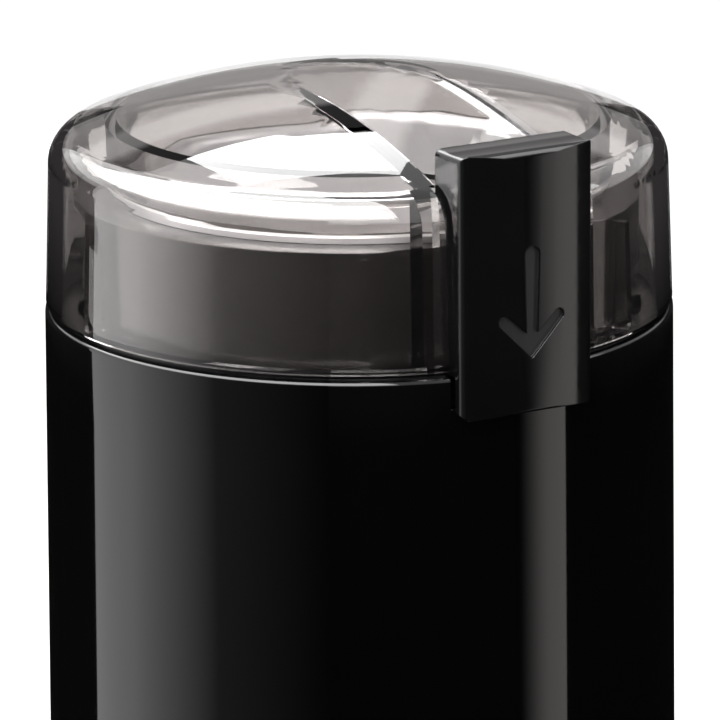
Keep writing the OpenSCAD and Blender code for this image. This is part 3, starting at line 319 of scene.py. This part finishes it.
# ---------- Materials of the CAD nodes ----------
BLACK = (0.0019, 0.0019, 0.0021)
BROWN_BLACK = (0.009, 0.0075, 0.0068)
GREY_BLACK = (0.018, 0.018, 0.019)
DARK_GREY = (0.03, 0.03, 0.032)
STEEL = (0.62, 0.62, 0.63)
SHEET_STEEL = (0.3, 0.3, 0.32)
BRONZE = (0.6, 0.42, 0.2)
COPPER = (0.72, 0.3, 0.12)
looks = {
    "housing": plastic("housing_gloss", BLACK, (0.03, 0.05), wave=0.006, edge=0.25),
    "base_cover": plastic("base_moulding", GREY_BLACK, (0.42, 0.55), grain=0.05, edge=0.3),
    "bowl_carrier": plastic("carrier_moulding", BROWN_BLACK, (0.24, 0.27), wave=0.02, edge=0.2, ior=2.0),
    "push_button": gloss_button("button_moulding"),
    "lid": smoked_clear("smoked_clear"),
    "grinding_bowl": metal("bowl_steel", (0.66, 0.66, 0.67), (0.38, 0.46), "turned", 0.2, stretch=0.8),
    "blade": metal("blade_steel", (0.68, 0.68, 0.69), (0.18, 0.3), "drawn"),
    "blade_nut": plastic("nut_moulding", GREY_BLACK, (0.3, 0.42), grain=0.03),
    "shaft_seal": rubber("seal_rubber", (0.02, 0.02, 0.021)),
    "rubber_feet": rubber("foot_rubber", (0.022, 0.022, 0.022)),
    "cord_gland": rubber("gland_rubber", (0.02, 0.02, 0.02)),
    "motor_mounts": rubber("mount_rubber", (0.025, 0.025, 0.025)),
    "drive_shaft": metal("shaft_steel", STEEL, (0.12, 0.2), "turned"),
    "armature_core": metal("armature_laminations", SHEET_STEEL, (0.35, 0.5), "laminated", strength=0.08),
    "stator_core": metal("stator_laminations", SHEET_STEEL, (0.35, 0.5), "laminated", strength=0.08),
    "armature_winding": wire("armature_wire", COPPER, around=True),
    "field_coils": wire("coil_wire", COPPER, around=False),
    "commutator": metal("commutator_copper", (0.75, 0.38, 0.2), (0.15, 0.3), "turned", 0.05),
    "cooling_fan": plastic("fan_moulding", (0.7, 0.7, 0.66), (0.35, 0.45), grain=0.02),
    "thrust_washers": plastic("washer_moulding", (0.72, 0.62, 0.42), (0.4, 0.5)),
    "coil_bobbins": plastic("bobbin_moulding", (0.75, 0.7, 0.55), (0.35, 0.45)),
    "upper_bracket": metal("bracket_casting", (0.55, 0.55, 0.57), (0.4, 0.55), edge=0.3, strength=0.06),
    "lower_bracket": plastic("bracket_moulding", DARK_GREY, (0.4, 0.5), grain=0.05),
    "upper_bearing": metal("upper_bush_bronze", BRONZE, (0.35, 0.5), strength=0.04),
    "lower_bearing": metal("lower_bush_bronze", BRONZE, (0.35, 0.5), strength=0.04),
    "brush_holders": metal("holder_brass", (0.75, 0.55, 0.25), (0.2, 0.32), "drawn"),
    "carbon_brushes": plastic("brush_carbon", DARK_GREY, (0.45, 0.6), grain=0.04),
    "brush_caps": plastic("cap_moulding", GREY_BLACK, (0.35, 0.5), grain=0.03),
    "switch_body": plastic("switch_moulding", (0.03, 0.03, 0.033), (0.32, 0.42), grain=0.03),
    "switch_plunger": plastic("plunger_moulding", (0.5, 0.03, 0.02)),
    "capacitor": plastic("capacitor_moulding", (0.7, 0.5, 0.06), (0.25, 0.35)),
    "terminal_block": plastic("terminal_moulding", (0.72, 0.7, 0.62), (0.35, 0.45)),
}
screw_look = metal("screw_zinc", (0.55, 0.55, 0.56), (0.22, 0.34), edge=0.06)
for name in ("base_screws", "carrier_screws", "switch_screws", "motor_bolts", "mount_screws"):
    looks[name] = screw_look
spring_look = metal("spring_wire", (0.6, 0.6, 0.61), (0.16, 0.26), edge=0.02)
for name in ("button_spring", "brush_springs", "bearing_clips"):
    looks[name] = spring_look
for name, obj in nodes.items():
    obj.data.materials.clear()
    obj.data.materials.append(looks[name])


# ---------- Smooth shading ----------
def smooth_by_angle(limit):
    """Modifier that joins the loaded corners, shades smooth and keeps edges sharper than the limit."""
    group = bpy.data.node_groups.new("smooth_by_angle", "GeometryNodeTree")
    group.interface.new_socket("Geometry", in_out="INPUT", socket_type="NodeSocketGeometry")
    group.interface.new_socket("Geometry", in_out="OUTPUT", socket_type="NodeSocketGeometry")
    add, link = group.nodes.new, group.links.new
    merge = add("GeometryNodeMergeByDistance")
    merge.inputs["Distance"].default_value = MERGE
    faces = add("GeometryNodeSetShadeSmooth")
    edges = add("GeometryNodeSetShadeSmooth")
    edges.domain = "EDGE"
    angle = add("GeometryNodeInputMeshEdgeAngle")
    sharp = add("FunctionNodeCompare")
    sharp.data_type = "FLOAT"
    sharp.operation = "GREATER_THAN"
    sharp.inputs["B"].default_value = limit
    smooth = add("FunctionNodeBooleanMath")
    smooth.operation = "NOT"
    link(angle.outputs["Unsigned Angle"], sharp.inputs["A"])
    link(sharp.outputs[0], smooth.inputs[0])
    link(smooth.outputs[0], edges.inputs["Shade Smooth"])
    link(add("NodeGroupInput").outputs["Geometry"], merge.inputs["Geometry"])
    link(merge.outputs[0], faces.inputs["Geometry"])
    link(faces.outputs[0], edges.inputs["Geometry"])
    link(edges.outputs[0], add("NodeGroupOutput").inputs["Geometry"])
    return group


smooth_group = smooth_by_angle(SHARP_EDGE)
for name, obj in nodes.items():
    attribute = obj.data.attributes.get("custom_normal")
    if attribute:
        obj.data.attributes.remove(attribute)
    obj.modifiers.new("smooth", "NODES").node_group = smooth_group
    # Broad faces keep their own direction beside narrow ones. Lid and housing are smoother without
    if name not in ("lid", "housing"):
        weighted = obj.modifiers.new("weighted", "WEIGHTED_NORMAL")
        weighted.keep_sharp = True
        weighted.weight = 100

# The button's return spring is a copy fixed to the base, and the loaded spring is hidden
spring_node = nodes["button_spring"]
spring = bpy.data.objects.new("button_spring_coil", spring_node.data.copy())
scene.collection.objects.link(spring)
spring.matrix_world = spring_node.matrix_world.copy()
spring.modifiers.new("smooth", "NODES").node_group = smooth_group
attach(spring, "base")
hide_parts("button_spring")
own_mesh(spring)


# ---------- Stage helpers ----------
def between(ends, share):
    return ends[0] + (ends[1] - ends[0]) * share


def linear_step(value, low, high):
    return min(1.0, max(0.0, (value - low) / (high - low)))


def smooth_step(value, low, high):
    k = linear_step(value, low, high)
    return k * k * (3 - 2 * k)


def toward(turn, height=0.0):
    """The direction at this turn and at this height above level, in degrees, of length 1."""
    back = Vector((math.sin(AZIMUTH), -math.cos(AZIMUTH), 0))
    right = Vector((math.cos(AZIMUTH), math.sin(AZIMUTH), 0))
    t, h = math.radians(turn), math.radians(height)
    return (back * math.cos(t) + right * math.sin(t)) * math.cos(h) + Vector((0, 0, math.sin(h)))


def stage_sheet(name, mat, columns, rows, place, glow=None):
    """A grid of faces. place(u, v) gives a corner and glow(u, v) its brightness; u and v run from 0 to 1."""
    steps = [(i / (columns - 1), j / (rows - 1)) for i in range(columns) for j in range(rows)]
    faces = [(i * rows + j, (i + 1) * rows + j, (i + 1) * rows + j + 1, i * rows + j + 1)
             for i in range(columns - 1) for j in range(rows - 1)]
    mesh = bpy.data.meshes.new(name)
    mesh.from_pydata([tuple(place(u, v)) for u, v in steps], [], faces)
    if glow:
        layer = mesh.attributes.new("glow", "FLOAT", "POINT")
        layer.data.foreach_set("value", [glow(u, v) for u, v in steps])
    mesh.materials.append(mat)
    obj = bpy.data.objects.new(name, mesh)
    scene.collection.objects.link(obj)
    return obj


def upright(turns, heights, reach):
    """Places on a wall that stands round the object."""
    return lambda u, v: toward(between(turns, u)) * reach + Vector((0, 0, between(heights, v)))


def hide(obj, *rays):
    """Hide a stage sheet from these kinds of rays."""
    for ray in rays:
        setattr(obj, "visible_" + ray, False)


def lamp_material(name, power, tone=(1, 1, 1)):
    """Emission whose strength follows the sheet's own brightness."""
    g = Graph(name)
    glow = g.add("ShaderNodeAttribute", attribute_name="glow").outputs["Fac"]
    return g.finish(g.shader("ShaderNodeEmission", Color=tone + (1,), Strength=g.times(glow, power)))


def upright_lamp(name, turns, power, fall, tone=(1, 1, 1), columns=33):
    """A curved diffuser that stands on the floor. fall(turn) gives its brightness from 0 to 1."""
    obj = stage_sheet(name, lamp_material(name, power, tone), columns, 2,
                      upright(turns, (0.0, UPRIGHT_TOP), UPRIGHT_R), lambda u, v: fall(between(turns, u)))
    hide(obj, "camera", "shadow")


def sky_lamp(name, turns, low, high, power, fall=lambda u, v: 1.0, away=SKY_R, columns=33, rows=17,
             only_reflects=False):
    """A diffuser that follows a sphere round the lid. Its lower edge is a height or a function of u."""
    def place(u, v):
        bottom = low(u) if callable(low) else low
        return toward(between(turns, u), between((bottom, high), v)) * away + Vector((0, 0, SKY_CENTRE_Z))

    obj = stage_sheet(name, lamp_material(name, power), columns, rows, place, fall)
    hide(obj, "camera", "shadow")
    if only_reflects:
        hide(obj, "diffuse")


# ---------- Lamps ----------
def left_fall(turn):
    """Even near the far edge, then a straight fade, with a faint tail toward the camera."""
    main = linear_step(-turn, 45, 83) ** 0.9
    tail = 0.1 * linear_step(-turn, 10, 48)
    return max(main, tail)


def right_fall(turn):
    """Two soft steps toward the far edge."""
    return 0.85 * smooth_step(turn, 53, 66) + 0.15 * smooth_step(turn, 62, 75)


def back_low(u):
    """A lower edge that climbs and then runs level."""
    return min(41.3, 31.5 + 20.3 * u)


def groove_fall(u, v):
    """Lit between two edges: the near one slants, and the far one stands further round above."""
    turn = -between(GROOVE_TURNS, u)
    near = 174.5 + 14 * v
    far = 190 + 12 * smooth_step(v, 0.25, 0.55)
    blur = 2
    return smooth_step(turn, near, near + blur) * (1 - smooth_step(turn, far, far + blur))


# Left and right diffusers for the two long reflections on the housing
upright_lamp("lamp_left", LEFT_TURNS, power=1.75, fall=left_fall, columns=97)
upright_lamp("lamp_right", RIGHT_TURNS, power=1.45, fall=right_fall, tone=(1.0, 0.96, 0.93))
# High diffusers: behind the lid for the white lens on the dome, for the finger hollow and overhead
sky_lamp("lamp_back", (-160, -187), low=back_low, high=54, power=8.0)
sky_lamp("lamp_groove", GROOVE_TURNS, low=20, high=41, power=2.2, fall=groove_fall, columns=65, rows=33)
sky_lamp("lamp_top", (-150, 14), low=16, high=84, power=2.2)
# Bright sheets that add only reflections, for the white shoulder of the lid
sky_lamp("lamp_glint", (-134, 14), low=26, high=84, power=10.0, away=GLINT_R, only_reflects=True)
sky_lamp("lamp_glint_right", (62, 100), low=20, high=60, power=5.0, away=GLINT_R, only_reflects=True)


# ---------- Cards, floor and world ----------
def card_material():
    """Black card that glows faintly, and more above a height: painted light that gives its reflections the
    backdrop's white.
    """
    g = Graph("card_black")
    base = g.mix(g.noise(20), grey(0.002), grey(0.004))
    # Painted light: the card's emission rises from 0.001 to 0.03 across CARD_FADE's heights
    return g.finish(g.principled(Base_Color=base, Roughness=0.9, Specular_IOR_Level=0.0,
                                 Emission_Color=(1.0, 0.93, 0.95, 1),
                                 Emission_Strength=g.spread(g.split()[2], 0.001, 0.03, *CARD_FADE)))


def painted_shade_sheet_material():
    """Glowing sheet seen only through the lid and in reflections: painted shade with a mid grey foot, a pale
    band of painted light and a darker top.
    """
    g = Graph("sheet_painted_shade")
    stops = ((0.0, 0.35), (0.44, 0.35), (0.50, 0.85), (0.67, 0.85), (0.73, 0.12), (1.0, 0.12))
    ramp = g.add("ShaderNodeValToRGB")
    g.feed(ramp.inputs["Fac"], g.spread(g.split()[2], 0, 1, SHEET_FOOT, SHEET_TOP))
    elements = ramp.color_ramp.elements
    while len(elements) < len(stops):
        elements.new(1.0)
    for element, (place, level) in zip(elements, stops):
        element.position = place
        element.color = (level, level * 0.97, level * 0.96, 1)
    return g.finish(g.shader("ShaderNodeEmission", Color=ramp.outputs["Color"]))


def floor_material():
    """Pale floor that looks white and keeps the object's shadow."""
    g = Graph("floor_white")
    white = g.shader("ShaderNodeEmission", Strength=g.times(g.background_rays(), 0.62))
    matt = g.shader("ShaderNodeBsdfDiffuse", Color=g.mix(g.noise(8), grey(0.78), grey(0.80)))
    both = g.add("ShaderNodeAddShader")
    g.feed(both.inputs[0], white)
    g.feed(both.inputs[1], matt)
    return g.finish(both.outputs[0])


def card_wall(name, turns, heights, mat):
    """A card that stands round the object and is seen only in reflections and through the lid."""
    card = stage_sheet(name, mat, columns=49, rows=2, place=upright(turns, heights, CARD_R))
    hide(card, "camera", "diffuse", "shadow")


def ring_place(u, v):
    return toward(360 * u) * between((RING_OUTER, RING_INNER), v) + Vector((0, 0, CARD_FOOT))


def floor_place(u, v):
    return (between((-FLOOR_HALF, FLOOR_HALF), u), between((-FLOOR_HALF, FLOOR_HALF), v), 0)


# Black cards keep the housing's wall dark. Behind it they are low and open to the backdrop
card_mat = card_material()
card_wall("cards_round", (-180 + CARD_OPENING, 180 - CARD_OPENING), (CARD_FOOT, CARD_TOP), card_mat)
card_wall("card_back", (180 - CARD_OPENING, 180 + CARD_OPENING), (CARD_FOOT, CARD_BACK_TOP), card_mat)
# The glowing grey sheet behind the lid paints shade, with a paler band, on what is seen through it
card_wall("card_above", (180 - SHEET_HALF_TURN, 180 + SHEET_HALF_TURN), (SHEET_FOOT, SHEET_TOP),
          painted_shade_sheet_material())
# A black ring on the floor keeps the housing's foot dark
card_floor = stage_sheet("card_floor", card_mat, columns=73, rows=2, place=ring_place)
hide(card_floor, "camera", "diffuse", "shadow")
stage_sheet("floor", floor_material(), columns=2, rows=2, place=floor_place)

# World: white where it is seen, and half as strong as a light
world = Graph("studio", "worlds", "ShaderNodeOutputWorld")
world_level = world.spread(world.background_rays(), 0.5, 1.0, 0, 1)
scene.world = world.finish(world.shader("ShaderNodeBackground", Color=grey(1), Strength=world_level))

# ---------- Camera ----------
camera = bpy.data.objects.new("camera", bpy.data.cameras.new("camera"))
scene.collection.objects.link(camera)
scene.camera = camera
camera.data.lens = LENS
camera.data.sensor_width = SENSOR
camera.data.clip_start = 0.05
camera.data.clip_end = 50
back_dir = toward(0, math.degrees(PITCH))
right_dir = toward(90)
up_dir = back_dir.cross(right_dir)
right_rolled = right_dir * math.cos(ROLL) + up_dir * math.sin(ROLL)
up_rolled = back_dir.cross(right_rolled)
target = Vector((0, 0, LOOK_Z)) + right_dir * LOOK_RIGHT
rotation = Matrix((right_rolled, up_rolled, back_dir)).transposed()
camera.matrix_world = Matrix.Translation(target + back_dir * DISTANCE) @ rotation.to_4x4()
